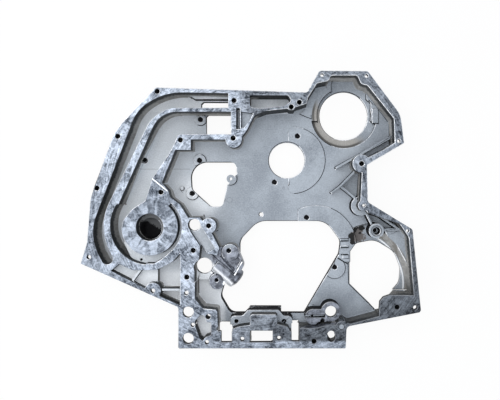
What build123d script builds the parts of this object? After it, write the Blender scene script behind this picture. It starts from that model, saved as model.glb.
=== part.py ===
# Timing cover: the cast aluminium front housing of a large truck engine.
# It is one casting, machined on its front face, its rear rim, its pan rail and its bores.
# It lies on its rear rim: Z is up, X runs to the right and Y to the top of the engine.
# The origin is the middle of the idler gear bore, on the plane of the rear rim.
# All sizes are millimetres.

import math
import os

from build123d import *

# Heights above the rear rim
FACE_HEIGHT = 60.0
WEB_BACK = 7.0
WEB_THICKNESS = 8.0
WEB_FRONT = WEB_BACK + WEB_THICKNESS
FLANGE_LIP = 10.0
LIP_BACK = FACE_HEIGHT - FLANGE_LIP
CUP_FLOOR = 6.0
PAD_RISE = 2.0
LOW_BOSS_RISE = 3.0
STEP_RISE = 1.5
RIB_HEIGHT = 34.0
COLLAR_HEIGHT = 34.0
CORNER_WEB_FRONT = 26.0
PANEL_LEFT_FLOOR = 46.0
PANEL_RIGHT_FLOOR = 30.0
TOP_POCKET_FLOOR = 20.0

# Walls
RIM_WALL = 9.0
CORE_WALL = 7.0
RIB_WIDTH = 5.0

# What keeps the mesh light: holes and bosses are many-sided, small roundings are cut corners
SMALL_SIDES = 12
MIDDLE_SIDES = 24
SMALL_DIAMETER = 15.0
SMALLEST_ROUNDING = 7.0

# Holes
BOLT_HOLE = 10.6
TAPPED_HOLE = 9.0
SMALL_HOLE = 7.0
FRONT_HOLE_DEPTH = 28.0
LOW_HOLE_DEPTH = 14.0
FLOOR_HOLE_DEPTH = 6.0
TAPPED_BOSS_DEPTH = 20.0
SHALLOW_GROOVE = 2.0
ACCESS_SPREAD = 0.0011
ACCESS_CLEARANCE = 1.0
ACCESS_NOSE = 0.41
WALL_HOLE_TOP = 32.0
WALL_HOLE_DEPTH = 23.0

# Bores and the round features beside them
IDLER_BORE = 83.0
IDLER_PAD = 156.0
IDLER_PAD_OFFSET = 11.0
PAD_CORNER = 15.0
PUMP_DRIVE_BORE = 112.0
PUMP_DRIVE_CENTRE = (132.0, 103.0)
PUMP_DRIVE_RECESS = 150.0
PUMP_DRIVE_LEDGE = 124.0
CRANK_PAD = 189.0
CRANK_PAD_CENTRE = (67.0, -198.0)

# Water pump
PUMP_CENTRE = (-303.0, -151.0)
PUMP_FACE = 125.0
PUMP_CHANNEL = 171.0
PUMP_CHANNEL_SHIFT = (-1.0, 3.0)
PUMP_CRESCENT = 141.0
PUMP_TAPER = [
    (-318, -231), (-293, -231), (-276, -221), (-253, -201), (-275, -206), (-312, -214),
]
PUMP_SHELF = [(-366, -186), (-340, -240), (-200, -260), (-200, -60), (-300, -60), (-300, -151)]
PUMP_SHELF_FLOOR = 44.0
PUMP_BORE = 60.0
PUMP_BORE_FLOOR = 12.0
PUMP_LEDGE_BORE = 47.0
PUMP_LEDGE = 38.0

# Lower left: pad, drain channel and gallery
PAD_FRONT = 30.0
PAD_HOLE = 36.0
PAD_LIP_BACK = 20.0
PAD_HOLE_CENTRE = (-187.5, -240.5)
DRAIN_FLOOR = 50.0
DRAIN_HOLE = 27.0
DRAIN_HOLE_CENTRE = (-205.0, -146.0)
DRAIN_LIP_BACK = 42.0
BARREL_DIAMETER = 46.0
BARREL_AXIS = 26.0
BARREL_START = (-158.0, -233.0)
BARREL_END = (-115.5, -270.5)
BARREL_BASE_FRONT = 18.0
BARREL_BLOCK_FRONT = 46.0
BARREL_LIP = 3.0
BARREL_LIP_FRONT = 49.0
BARREL_LIPS = [((-170, -213), (-117, -259)), ((-117, -259), (-100, -229))]
BARREL_BOSS = 38.0
BARREL_BOSS_CENTRE = (-127.0, -208.0)
FAN_FLOOR = 40.0
BARREL_FOOT = 36.0
BARREL_FOOT_CENTRE = (-158.0, -275.0)
BARREL_FOOT_FRONT = 36.0

# Raised parts of the floor
CORNER_POCKET_FLOOR = 52.0
LONG_GROOVE_FLOOR = 42.0
STAR_FLOOR = 38.0
PASSAGE_STEP_FRONT = 26.0
SHOULDER_FRONT = 38.0
KEYHOLE_FRONT = 44.0
KEYHOLE_LARGE = 44.0
KEYHOLE_LARGE_CENTRE = (98.0, -341.0)
KEYHOLE_SMALL = 35.0
KEYHOLE_SMALL_CENTRE = (58.0, -353.0)
KEYHOLE_BORE = 25.0
KEYHOLE_LIP_BACK = 34.0
KEYHOLE_NECK_DROP = 11.0
KEYHOLE_GROOVE = (40, 85, -354, -348)
KEYHOLE_GROOVE_DEPTH = 8.0
KEYHOLE_DOWEL = 5.5
KEYHOLE_DOWEL_CENTRE = (56.0, -351.5)
KEYHOLE_TAPPED_CENTRE = (79.0, -361.0)
TAPPED_BOSS = 34.0
TAPPED_BOSS_CENTRE = (201.0, -161.0)
TAPPED_BOSS_FRONT = 40.0

# Pan rail
PAN_RAIL_Y = -418.0
RAIL_HOLE = 24.0
RAIL_HOLE_SPACING = 58.0
RAIL_HOLE_CENTRE = (-218.0, -367.0)
RAIL_SLOT = 17.0
RAIL_SLOT_ENDS = ((97.0, -387.5), (97.0, -394.5))
RAIL_RING = 13.0
RAIL_RING_CENTRE = (120.0, -370.5)
RAIL_WINDOWS = [
    (-145, -122, -404, -372), (-155, -144, -377, -372), (-82, -32, -404, -379),
    (10, 27, -402, -369),
]

# Places of the repeated features: a centre, or a centre and a diameter
MIDDLE = (-16, -80)
FULL_BOSSES = [
    ((-118, 42), 36), ((-173, -148), 34), ((164, -11), 40),
    ((169, -103), 26), ((120, -369), 24),
    ((-235, 41), 40),
]
LOW_BOSSES = [
    ((-198, 93), 28), ((-200, -1), 30), ((-217, -77), 30), ((-129, -43), 30),
    ((-241, -65), 11), ((110, -248), 50),
]
FRONT_HOLES = [
    (-286, 148), (-373, 49), (-419, -65), (-278, -74), (-235, 41), (-119, 45),
    (-117, 128), (27, 124), (9, 114), (-207, -202), (-221, -261), (-173, -148),
    (-130, -204), (164, -11), (59, -402), (242, -327),
]
LOW_HOLES = [(-114, -364), (-7, -364), (-159, -272)]
FLOOR_HOLES = [
    (-198, 93), (-200, -1), (-217, -77), (25, 55), (-28, -51), (46, -132),
    (110, -246),
]
WALL_HOLE_CENTRE = (-328.0, 1.0)
WEB_HOLES = [(-129, -43), (-59, -125)]
CLEAR_HOLES = [
    (-437, -217), (-222, -296), (-296, -291), (-208, -366), (-177, -404),
    (-99, -397), (-18, -395), (282, -328),
]
STAR_HOLE = 11.0
STAR_HOLE_CENTRE = (-174.0, -348.0)
STAR_LIP_BACK = 34.0
SMALL_CLEAR_HOLES = [(77, 184), (175, 182), (246, 39), (169, -103), (265, -159)]
RIBS = [
    ((111, -19), (237, 51)), ((100, -76), (122, -59)), ((122, -59), (156, -24)),
    ((122, -62), (158, -91)), ((179, -121), (192, -148)), ((199, -121), (255, -159)),
    ((217, -159), (253, -159)),
]
PANEL_BOSS = 36.0
PANEL_BOSS_CENTRE = (-296.0, -291.0)
PANEL_RIBS = [((-323, -245), (-343, -272)), ((-276, -289), (-236, -289))]

LOW_BARS = [
    (122, 143, -187, -180), (122, 143, -202, -196), (128, 143, -227, -217), (196, 211, 84, 118),
]
COLLAR = 44.0
COLLAR_CENTRE = (167.0, -105.0)
VOLUTE_DRAIN = 5.0
VOLUTE_DRAIN_CENTRE = (-326.0, -224.5)

# Outlines: each corner is (x, y) or (x, y, rounding radius)
OUTER_EDGE = [
    (-289, 157, 5), (44, 146, 6), (71, 194, 5), (178, 193, 8), (250, 97, 50), (258, 34),
    (176, -14, 8), (178, -96, 8), (276, -156, 8), (295, -338, 4), (131, -370, 10),
    (129, PAN_RAIL_Y, 2), (-240, PAN_RAIL_Y, 2), (-240, -327, 6), (-455, -231), (-441, -186, 80),
    (-433, -87, 60), (-403, -3, 60), (-382, 54, 25), (-363, 79, 30),
]
OUTER_PASSAGE = [
    (-130, 144), (-269, 146, 135), (-330, 108, 85), (-437, -169, 105), (-403, -235, 11),
    (-379, -228, 11), (-419, -151, 116), (-301, 87, 60), (-262, 112, 60), (-130, 112),
]
INNER_PASSAGE = [
    (-124, 103), (-280, 103, 57), (-372, -103), (-366, -157), (-361, -135, 10),
    (-341, -111, 8), (-313, -93, 8), (-297, -43), (-262, 8), (-248, 34, 8), (-240, 54, 6),
    (-124, 54),
]
MAIN_FLOOR = [
    (-212, 42), (-99, 42), (-99, 49), (-89, 62, 4), (-72, 95, 12), (-46, 105, 15),
    (1, 110), (4, 107), (14, 107), (18, 113), (43, 121), (46, 135), (66, 166, 8), (92, 171, 6),
    (96, 183, 4), (154, 183, 4), (163, 164, 6), (177, 161, 4), (235, 88, 8), (237, 35), (211, 19),
    (166, -4), (161, -98), (178, -120, 4), (248, -144, 10), (268, -173, 20), (279, -301),
    (226, -300), (212, -305), (204, -315), (202, -347), (138, -364, 5), (127, -357), (118, -360),
    (112, -366), (94, -365), (61, -373), (27, -373), (27, -380), (-152, -380), (-154, -333, 4),
    (-185, -330, 4), (-203, -309, 6), (-203, -272), (-173, -272), (-149, -197),
    (-165, -166), (-192, -129), (-218, -130), (-236, -101, 20), (-257, -85),
    (-262, -69), (-276, -54, 4), (-246, 19), (-212, 19),
]
PANEL_LEFT = [
    (-388, -247), (-370, -232), (-339, -246, 12), (-288, -245), (-288, -298),
]
PANEL_RIGHT = [
    (-288, -245), (-253, -228, 30), (-236, -209), (-236, -323), (-276, -305), (-288, -298),
]
TOP_POCKET = [
    (-82, 139), (2, 139, 4), (10, 127, 4), (-7, 116, 6), (-55, 111, 6), (-82, 113, 4),
]
STAR_RECESS = [
    (-192, -345), (-203, -358), (-202, -370), (-193, -395), (-187, -401), (-180, -393),
    (-168, -388), (-168, -361), (-178, -359), (-184, -345),
]
CRANK_OPENING = [
    (-66, -140, 45), (90, -140, 45), (124, -186, 20), (120, -216, 15), (40, -352),
    (-13, -352), (-13, -338), (-85, -338), (-94, -352), (-129, -352, 20),
    (-152, -313, 20), (-145, -290, 4), (-140, -253), (-108, -223), (-108, -184, 30),
]
DOOR_OPENING = [
    (-222, -5, 36), (-117, -5, 12), (-115, -33, 6), (-137, -57, 8), (-148, -107, 10),
    (-175, -107, 10), (-218, -68, 12),
]
CUP_OPENING = [
    (146, -210), (158, -193), (204, -184, 40), (250, -212, 40), (264, -250, 40), (261, -283, 25),
    (237, -310), (236, -318), (216, -345), (207, -347), (146, -286),
]
CUP_RECESS = [
    (140, -163), (150, -158), (164, -152), (186, -147), (224, -166), (242, -184, 10),
    (268, -218, 20), (284, -246), (284, -300), (226, -300), (204, -315), (204, -344),
    (143, -285, 4), (140, -207),
]
CORNER_WEB = [(222, -160), (270, -160), (280, -262), (273, -236), (250, -194), (229, -173)]
CORNER_WEB_FOOT = [(208, -160), (270, -160), (279, -300), (268, -246), (259, -224), (228, -186)]
PUMP_DRIVE_POCKET = [
    (103, 190), (183, 190), (183, 139, 4), (193, 134, 5), (193, 118, 4), (186, 108, 4),
    (186, 88, 4), (194, 82, 4), (190, 62, 6), (176, 55, 4), (103, 100),
]
PASSAGE_STEP = [
    (-219, 150), (-219, 144), (-209, 138), (-128, 138), (-128, 150),
]
TOP_SLOT = [(-196, 133, 5), (-135, 133), (-135, 112), (-196, 112)]
TOP_WINDOW = [(-185, 103, 4), (-124, 103, 4), (-124, 54, 4), (-185, 54)]
LONG_GROOVE = [(-112, 111), (-104, 111), (-104, 65), (-112, 65)]
CORNER_POCKET = [
    (-101, 103), (-75, 99), (-82, 85, 4), (-96, 68), (-101, 68),
]
CENTRE_BLOCK = [
    (-121, -384), (-121, -375), (-108, -370, 4), (-82, -366), (-82, -343, 4),
    (-22, -343, 4), (-22, -364), (2, -370, 4), (8, -384),
]
CENTRE_SHOULDER = [
    (-128, -384), (-128, -352, 10), (-100, -352, 6), (-88, -339, 4), (-18, -339, 4),
    (-8, -352, 6), (12, -352, 10), (12, -384),
]
PAD_POCKET = [
    (-204, -272), (-204, -238), (-194, -222), (-191, -190), (-179, -208), (-150, -214),
    (-160, -272),
]
DRAIN_CHANNEL = [(-214, -159), (-192, -146), (-160, -197), (-180, -210)]
BARREL_BASE = [
    (-170, -216), (-166, -245), (-170, -262), (-137, -280), (-124, -283), (-108, -262),
    (-100, -232), (-120, -230), (-150, -214),
]
BARREL_BLOCK = [
    (-173, -211), (-117, -260), (-99, -229), (-107, -210), (-135, -196), (-152, -196),
]
FAN_POCKET = [(-150, -217), (-119, -252), (-105, -228), (-108, -219), (-121, -216), (-137, -212)]
STEP_PLATE = [
    (28, 106), (44, 99), (63, 92), (75, 92), (84, 112), (92, 174), (66, 168), (44, 135), (42, 118),
]


def outline(points):
    """A flat region with straight sides; a corner with a radius is rounded or cut."""
    corners = [Vector(point[0], point[1]) for point in points]
    trims = []
    for index, point in enumerate(points):
        corner = corners[index]
        back = (corners[index - 1] - corner).normalized()
        ahead = (corners[(index + 1) % len(points)] - corner).normalized()
        if len(point) == 2:
            trims.append((corner, None, corner))
            continue
        radius = point[2]
        half_angle = math.radians(back.get_angle(ahead)) / 2
        reach = radius / math.tan(half_angle)
        inset = radius / math.sin(half_angle) - radius
        middle = corner + (back + ahead).normalized() * inset
        if radius < SMALLEST_ROUNDING:
            middle = None
        trims.append((corner + back * reach, middle, corner + ahead * reach))
    edges = []
    for index, (start, middle, end) in enumerate(trims):
        if middle is not None:
            edges.append(Edge.make_three_point_arc(start, middle, end))
        elif (end - start).length > 0:
            edges.append(Edge.make_line(start, end))
        edges.append(Edge.make_line(end, trims[(index + 1) % len(trims)][0]))
    return Face(Wire(edges))


def sharp(points):
    """The same flat region without its roundings, for the hidden rear side."""
    return outline([point[:2] for point in points])


def disc(diameter, centre=(0, 0)):
    """A flat round region."""
    return Pos(*centre) * Face(Wire(Edge.make_circle(diameter / 2)))


def small_disc(diameter, centre):
    """A flat many-sided region whose flats touch the circle of that diameter."""
    sides = SMALL_SIDES if diameter < SMALL_DIAMETER else MIDDLE_SIDES
    reach = diameter / 2 / math.cos(math.pi / sides)
    turns = [math.tau * side / sides for side in range(sides)]
    return outline([
        (centre[0] + reach * math.cos(turn), centre[1] + reach * math.sin(turn)) for turn in turns
    ])


def box_region(left, right, bottom, top):
    """A flat rectangle between four limits."""
    return outline([(left, bottom), (right, bottom), (right, top), (left, top)])


def raised(region, bottom, top):
    """The solid over a flat region between two heights."""
    return Pos(0, 0, bottom) * extrude(region, top - bottom, dir=(0, 0, 1))


def strip(start, end, width):
    """A flat straight band, as under a rib."""
    along = Vector(*end) - Vector(*start)
    side = Vector(-along.Y, along.X).normalized() * (width / 2)
    first, last = Vector(*start), Vector(*end)
    corners = [first + side, first - side, last - side, last + side]
    return outline([(corner.X, corner.Y) for corner in corners])


def sector(centre, start_angle, end_angle, reach):
    """A flat wedge about a centre, between two directions in degrees."""
    middle_angle = (start_angle + end_angle) / 2
    points = [centre]
    for angle in (start_angle, middle_angle, end_angle):
        turn = math.radians(angle)
        points.append((centre[0] + reach * math.cos(turn), centre[1] + reach * math.sin(turn)))
    return outline(points)


def drilled(centre, diameter, top, depth):
    """A small flat-bottomed hole, cut down from a height."""
    return raised(small_disc(diameter, centre), top - depth, top + 1)


def merged(regions):
    """One flat region out of several that touch or overlap."""
    result = Sketch() + regions[0]
    for region in regions[1:]:
        result += region
    return result


def pump_passages():
    """The deep coolant passages and the shallow shelf of the pump's volute, as flat regions."""
    face = disc(PUMP_FACE, PUMP_CENTRE)
    shifted = (
        PUMP_CENTRE[0] + PUMP_CHANNEL_SHIFT[0],
        PUMP_CENTRE[1] + PUMP_CHANNEL_SHIFT[1],
    )
    volute = disc(PUMP_CHANNEL, shifted) - face
    volute &= sector(PUMP_CENTRE, 144, 264, PUMP_CHANNEL)
    crescent = disc(PUMP_CRESCENT, PUMP_CENTRE) - face
    crescent &= sector(PUMP_CENTRE, -60, 48, PUMP_CHANNEL)
    volute = merged([volute, outline(PUMP_TAPER) - face, crescent])
    shelf = volute & outline(PUMP_SHELF)
    deep = merged([outline(OUTER_PASSAGE), outline(INNER_PASSAGE), volute - outline(PUMP_SHELF)])
    return deep, shelf


def main_floor():
    """The big sunken web, less the full-height bosses that stand on it."""
    floor = Sketch() + outline(MAIN_FLOOR)
    for centre, diameter in FULL_BOSSES:
        floor -= small_disc(diameter, centre)
    return floor - outline(CENTRE_BLOCK)


def casting():
    """The outer block with its sunken floors."""
    rear = offset(sharp(OUTER_EDGE), -RIM_WALL, kind=Kind.INTERSECTION)
    rear -= [
        small_disc(IDLER_BORE + 2 * RIM_WALL, (0, 0)),
        small_disc(PUMP_DRIVE_RECESS + 2 * CORE_WALL, PUMP_DRIVE_CENTRE),
        sharp(PUMP_DRIVE_POCKET),
        offset(sharp(CRANK_OPENING), RIM_WALL, kind=Kind.INTERSECTION),
        sharp(CUP_RECESS),
        small_disc(PUMP_FACE, PUMP_CENTRE),
    ]
    deep, shelf = pump_passages()
    boss = small_disc(PANEL_BOSS, PANEL_BOSS_CENTRE)
    sunken = [
        (deep, WEB_FRONT), (shelf, PUMP_SHELF_FLOOR), (main_floor(), WEB_FRONT),
        (outline(STAR_RECESS), STAR_FLOOR), (outline(PANEL_LEFT) - boss, PANEL_LEFT_FLOOR),
        (outline(PANEL_RIGHT) - boss, PANEL_RIGHT_FLOOR), (outline(TOP_POCKET), TOP_POCKET_FLOOR),
        (outline(PAD_POCKET), PAD_FRONT), (outline(DRAIN_CHANNEL), DRAIN_FLOOR),
        (outline(LONG_GROOVE), LONG_GROOVE_FLOOR), (outline(CORNER_POCKET), CORNER_POCKET_FLOOR),
    ]
    body = raised(outline(OUTER_EDGE), 0, FACE_HEIGHT)
    tools = [raised(region, floor, FACE_HEIGHT + 1) for region, floor in sunken]
    return body - [raised(rear, -1, WEB_BACK)] - tools - recesses()


def machined_pads():
    """The two slightly raised pads, by the idler bore and by the crank opening."""
    idler = disc(IDLER_PAD, (IDLER_PAD_OFFSET, 0)) & outline([
        (3, 77, PAD_CORNER), (120, 77), (120, -77), (3, -77, PAD_CORNER),
    ])
    crank = disc(CRANK_PAD, CRANK_PAD_CENTRE) & outline([
        (25, -104, PAD_CORNER), (165, -104), (165, -235), (25, -235),
    ])
    return [idler, crank & outline(MAIN_FLOOR)]


def floor_features():
    """Everything that stands up from the web, lower than the front face."""
    low = [(region, WEB_FRONT + PAD_RISE) for region in machined_pads()]
    low += [
        (small_disc(diameter, centre), WEB_FRONT + LOW_BOSS_RISE)
        for centre, diameter in LOW_BOSSES
    ]
    low += [(box_region(*limits), WEB_FRONT + LOW_BOSS_RISE) for limits in LOW_BARS]
    low += [(strip(start, end, RIB_WIDTH), RIB_HEIGHT) for start, end in RIBS]
    low += [(strip(start, end, RIB_WIDTH), FACE_HEIGHT - PAD_RISE) for start, end in PANEL_RIBS]
    low += [
        (small_disc(COLLAR, COLLAR_CENTRE) & outline(MAIN_FLOOR), COLLAR_HEIGHT),
        (outline(STEP_PLATE) - small_disc(PUMP_DRIVE_RECESS, PUMP_DRIVE_CENTRE), WEB_FRONT + STEP_RISE),
        (outline(PASSAGE_STEP), PASSAGE_STEP_FRONT),
        (outline(CENTRE_SHOULDER), SHOULDER_FRONT),
        (keyhole_boss(), KEYHOLE_FRONT),
    ]
    features = [raised(region, WEB_BACK, front) for region, front in low]
    features.append(raised(small_disc(TAPPED_BOSS, TAPPED_BOSS_CENTRE), 0, TAPPED_BOSS_FRONT))
    foot = Pos(0, 0, CUP_FLOOR) * outline(CORNER_WEB_FOOT)
    features.append(loft([foot, Pos(0, 0, CORNER_WEB_FRONT) * outline(CORNER_WEB)], ruled=True))
    return features + barrel()


def keyhole_boss():
    """The flat shape of the raised boss with a large and a small round end."""
    neck = box_region(
        KEYHOLE_SMALL_CENTRE[0],
        KEYHOLE_LARGE_CENTRE[0],
        KEYHOLE_SMALL_CENTRE[1] - KEYHOLE_NECK_DROP,
        KEYHOLE_SMALL_CENTRE[1] + KEYHOLE_SMALL / 2,
    )
    large = small_disc(KEYHOLE_LARGE, KEYHOLE_LARGE_CENTRE)
    return merged([large, small_disc(KEYHOLE_SMALL, KEYHOLE_SMALL_CENTRE), neck])


def barrel():
    """The round oil gallery across the edge of the crank opening, and its lipped block."""
    start, end = Vector(*BARREL_START, BARREL_AXIS), Vector(*BARREL_END, BARREL_AXIS)
    plane = Plane(origin=start, z_dir=end - start)
    round_part = extrude(plane * Circle(BARREL_DIAMETER / 2), (end - start).length)
    flat = [
        (outline(BARREL_BLOCK) - outline(FAN_POCKET), BARREL_BLOCK_FRONT),
        (outline(FAN_POCKET), FAN_FLOOR),
        (outline(BARREL_BASE), BARREL_BASE_FRONT),
        (small_disc(BARREL_BOSS, BARREL_BOSS_CENTRE), BARREL_LIP_FRONT),
        (small_disc(BARREL_FOOT, BARREL_FOOT_CENTRE), BARREL_FOOT_FRONT),
    ]
    flat += [(strip(*ends, BARREL_LIP), BARREL_LIP_FRONT) for ends in BARREL_LIPS]
    return [round_part] + [raised(region, WEB_BACK, front) for region, front in flat]


def openings():
    """The bores and cored openings that go right through."""
    tools = [raised(disc(IDLER_BORE), -1, FACE_HEIGHT)]
    tools.append(raised(disc(PUMP_DRIVE_BORE, PUMP_DRIVE_CENTRE), -1, FACE_HEIGHT))
    for points in (CRANK_OPENING, DOOR_OPENING, TOP_SLOT, TOP_WINDOW):
        tools.append(raised(outline(points), -1, WEB_FRONT + LOW_BOSS_RISE + 1))
    return tools + [raised(outline(CUP_OPENING), -1, LIP_BACK)]


def recesses():
    """The lowered ledge round the pump drive bore, and the right-hand cup."""
    x, y = PUMP_DRIVE_CENTRE
    half = PUMP_DRIVE_RECESS / 2
    lower_half = box_region(x - half, x + half, y - half, y - CORE_WALL * 2)
    floor = outline(MAIN_FLOOR)
    regions = [
        disc(PUMP_DRIVE_RECESS, PUMP_DRIVE_CENTRE) & lower_half,
        disc(PUMP_DRIVE_LEDGE, PUMP_DRIVE_CENTRE),
        outline(PUMP_DRIVE_POCKET) & floor,
        outline(CUP_RECESS) & floor,
    ]
    return [raised(region, CUP_FLOOR, RIB_HEIGHT) for region in regions]


def rail_windows():
    """The windows in the lower flange; behind its lip each runs out to the pan rail."""
    tools = []
    for left, right, bottom, top in RAIL_WINDOWS:
        tools.append(raised(box_region(left, right, bottom, top), -1, FACE_HEIGHT + 1))
        behind = box_region(left, right, PAN_RAIL_Y - 5, top)
        tools.append(raised(behind, -1, LIP_BACK))
    return tools


def clear_hole(centre, diameter, region=small_disc, lip_back=LIP_BACK):
    """A hole through a lip, with a blunt-ended slot behind it that runs outward."""
    return [
        raised(region(diameter, centre), lip_back - 1, FACE_HEIGHT + 1),
        raised(access_slot(centre, diameter + 2 * ACCESS_CLEARANCE, lip_back), -1, lip_back),
    ]


def access_slot(centre, width, lip_back):
    """The flat shape of the slot behind a hole; the farther out the hole, the longer."""
    middle = Vector(*centre)
    outward = (middle - Vector(*MIDDLE)).normalized()
    aside = Vector(-outward.Y, outward.X)
    half = width / 2
    nose = half * ACCESS_NOSE
    reach = half + (middle - Vector(*MIDDLE)).length * lip_back * ACCESS_SPREAD
    steps = [
        (-half, -nose), (-half, nose), (-nose, half), (reach - half + nose, half),
        (reach, nose), (reach, -nose), (reach - half + nose, -half), (-nose, -half),
    ]
    corners = [middle + outward * along + aside * across for along, across in steps]
    return outline([(corner.X, corner.Y) for corner in corners])


def holes():
    """The bolt holes, tapped holes and dowel holes."""
    tools = []
    for centre in FRONT_HOLES:
        tools.append(drilled(centre, BOLT_HOLE, FACE_HEIGHT, FRONT_HOLE_DEPTH))
    for centre in LOW_HOLES:
        hole = raised(disc(TAPPED_HOLE, centre), SHOULDER_FRONT - LOW_HOLE_DEPTH, SHOULDER_FRONT + 1)
        tools.append(hole)
    for centre in FLOOR_HOLES:
        tools.append(drilled(centre, BOLT_HOLE, WEB_FRONT + LOW_BOSS_RISE, FLOOR_HOLE_DEPTH))
    for centre in WEB_HOLES:
        tools.append(raised(small_disc(TAPPED_HOLE, centre), -1, FACE_HEIGHT))
    for centre in CLEAR_HOLES:
        tools += clear_hole(centre, TAPPED_HOLE)
    for centre in SMALL_CLEAR_HOLES:
        tools += clear_hole(centre, SMALL_HOLE)
    for step in (-0.5, 0.5):
        centre = (RAIL_HOLE_CENTRE[0], RAIL_HOLE_CENTRE[1] + step * RAIL_HOLE_SPACING)
        tools += clear_hole(centre, RAIL_HOLE, disc)
    first, last = RAIL_SLOT_ENDS
    tools += clear_hole(first, RAIL_SLOT)
    for region in (small_disc(RAIL_SLOT, last), strip(first, last, RAIL_SLOT)):
        tools.append(raised(region, LIP_BACK - 1, FACE_HEIGHT + 1))
    tools += clear_hole(STAR_HOLE_CENTRE, STAR_HOLE, lip_back=STAR_LIP_BACK)
    tools += clear_hole(DRAIN_HOLE_CENTRE, DRAIN_HOLE, lip_back=DRAIN_LIP_BACK)
    tools += clear_hole(PAD_HOLE_CENTRE, PAD_HOLE, lip_back=PAD_LIP_BACK)
    tools += clear_hole(KEYHOLE_LARGE_CENTRE, KEYHOLE_BORE, lip_back=KEYHOLE_LIP_BACK)
    tools += [
        drilled(TAPPED_BOSS_CENTRE, TAPPED_BOSS / 2, TAPPED_BOSS_FRONT, TAPPED_BOSS_DEPTH),
        drilled(VOLUTE_DRAIN_CENTRE, VOLUTE_DRAIN, PUMP_SHELF_FLOOR, FLOOR_HOLE_DEPTH),
        drilled(WALL_HOLE_CENTRE, BOLT_HOLE, WALL_HOLE_TOP, WALL_HOLE_DEPTH),
        drilled(RAIL_RING_CENTRE, RAIL_RING, FACE_HEIGHT, SHALLOW_GROOVE),
    ]
    return tools + keyhole_holes()


def keyhole_holes():
    """The groove and the two small holes in the keyhole boss."""
    groove_floor = KEYHOLE_FRONT - KEYHOLE_GROOVE_DEPTH
    return [
        raised(box_region(*KEYHOLE_GROOVE), groove_floor, FACE_HEIGHT),
        raised(small_disc(KEYHOLE_DOWEL, KEYHOLE_DOWEL_CENTRE), -1, FACE_HEIGHT),
        drilled(KEYHOLE_TAPPED_CENTRE, TAPPED_HOLE, KEYHOLE_FRONT, LOW_HOLE_DEPTH),
    ]


def pump_bore():
    """The blind bore in the pump face, with its crescent ledge."""
    wide = raised(disc(PUMP_BORE, PUMP_CENTRE), PUMP_LEDGE, FACE_HEIGHT + 1)
    inner = (PUMP_CENTRE[0] - 3, PUMP_CENTRE[1] - 4)
    deep = drilled(inner, PUMP_LEDGE_BORE, PUMP_LEDGE, PUMP_LEDGE - PUMP_BORE_FLOOR)
    return [wide, deep]


def timing_cover():
    """The whole machined casting."""
    body = casting() + floor_features()
    return body - (openings() + rail_windows() + holes() + pump_bore())


if __name__ == "__main__":
    os.makedirs("parts", exist_ok=True)
    cover = timing_cover()
    export_step(cover, "parts/timing_cover.step")
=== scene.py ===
# %% [markdown]
# # A timing cover, looked at from straight above
#
# A timing cover closes the front of an engine and carries the gears behind it. This one is a
# single aluminium casting, about three quarters of a metre across. It lies on its rear rim,
# so the milled front face looks up at the camera. The shape comes from the imported CAD model.
# Blender adds what a caster and a machinist leave behind: soft fillets, broken edges,
# the grain of the sand and the swirl of the cutter. Places are in millimetres from the middle
# of the idler's bore, with X to the right and Y up, as the camera sees the cover.

# %% The frame, the imported parts and the millimetre
import math

import bmesh
import bpy
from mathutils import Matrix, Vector


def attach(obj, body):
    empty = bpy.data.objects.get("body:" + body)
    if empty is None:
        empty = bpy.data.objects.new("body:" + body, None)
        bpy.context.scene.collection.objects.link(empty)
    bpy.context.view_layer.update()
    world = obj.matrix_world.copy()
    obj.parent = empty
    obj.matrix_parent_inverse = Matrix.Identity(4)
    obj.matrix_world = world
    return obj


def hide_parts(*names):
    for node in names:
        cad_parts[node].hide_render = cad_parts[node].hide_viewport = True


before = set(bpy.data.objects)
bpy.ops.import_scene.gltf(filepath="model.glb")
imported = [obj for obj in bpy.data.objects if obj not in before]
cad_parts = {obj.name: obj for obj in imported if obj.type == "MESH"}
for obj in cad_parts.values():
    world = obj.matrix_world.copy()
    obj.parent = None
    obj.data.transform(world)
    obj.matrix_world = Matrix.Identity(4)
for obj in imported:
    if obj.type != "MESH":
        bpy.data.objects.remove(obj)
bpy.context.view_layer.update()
MM = 0.001

# %% [markdown]
# ## The casting
#
# The CAD mesh is loose triangles, which no bevel can follow. So a copy is made, and its
# doubled points are merged. Dissolving the flat triangles too would look tidier, but a flat
# face with holes in it can't be one face in Blender, so they stay. The copy then stands for
# the CAD node, and the node itself is left as it came.


# %% Helpers that select in code what a hand would click
def alone(piece):
    """Leaves one object selected and active."""
    bpy.ops.object.select_all(action="DESELECT")
    piece.select_set(True)
    bpy.context.view_layer.objects.active = piece


def pick_edges(piece, wanted):
    """In edit mode, selects the edges that pass a test, and says how many they are."""
    bpy.context.tool_settings.mesh_select_mode = (False, True, False)
    bpy.ops.mesh.select_all(action="DESELECT")
    edges = bmesh.from_edit_mesh(piece.data).edges
    chosen = [edge for edge in edges if len(edge.link_faces) == 2 and wanted(edge)]
    for edge in chosen:
        edge.select = True
    bmesh.update_edit_mesh(piece.data)
    return len(chosen)


# %% The merged copy
SAME_POINT = 0.02 * MM
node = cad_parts["timing_cover"]
casting = bpy.data.objects.new("casting", node.data.copy())
bpy.context.scene.collection.objects.link(casting)
alone(casting)
bpy.ops.object.mode_set(mode="EDIT")
bpy.ops.mesh.select_all(action="SELECT")
bpy.ops.mesh.remove_doubles(threshold=SAME_POINT)
bpy.ops.object.mode_set(mode="OBJECT")
print("joined triangles:", len(casting.data.polygons))
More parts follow.
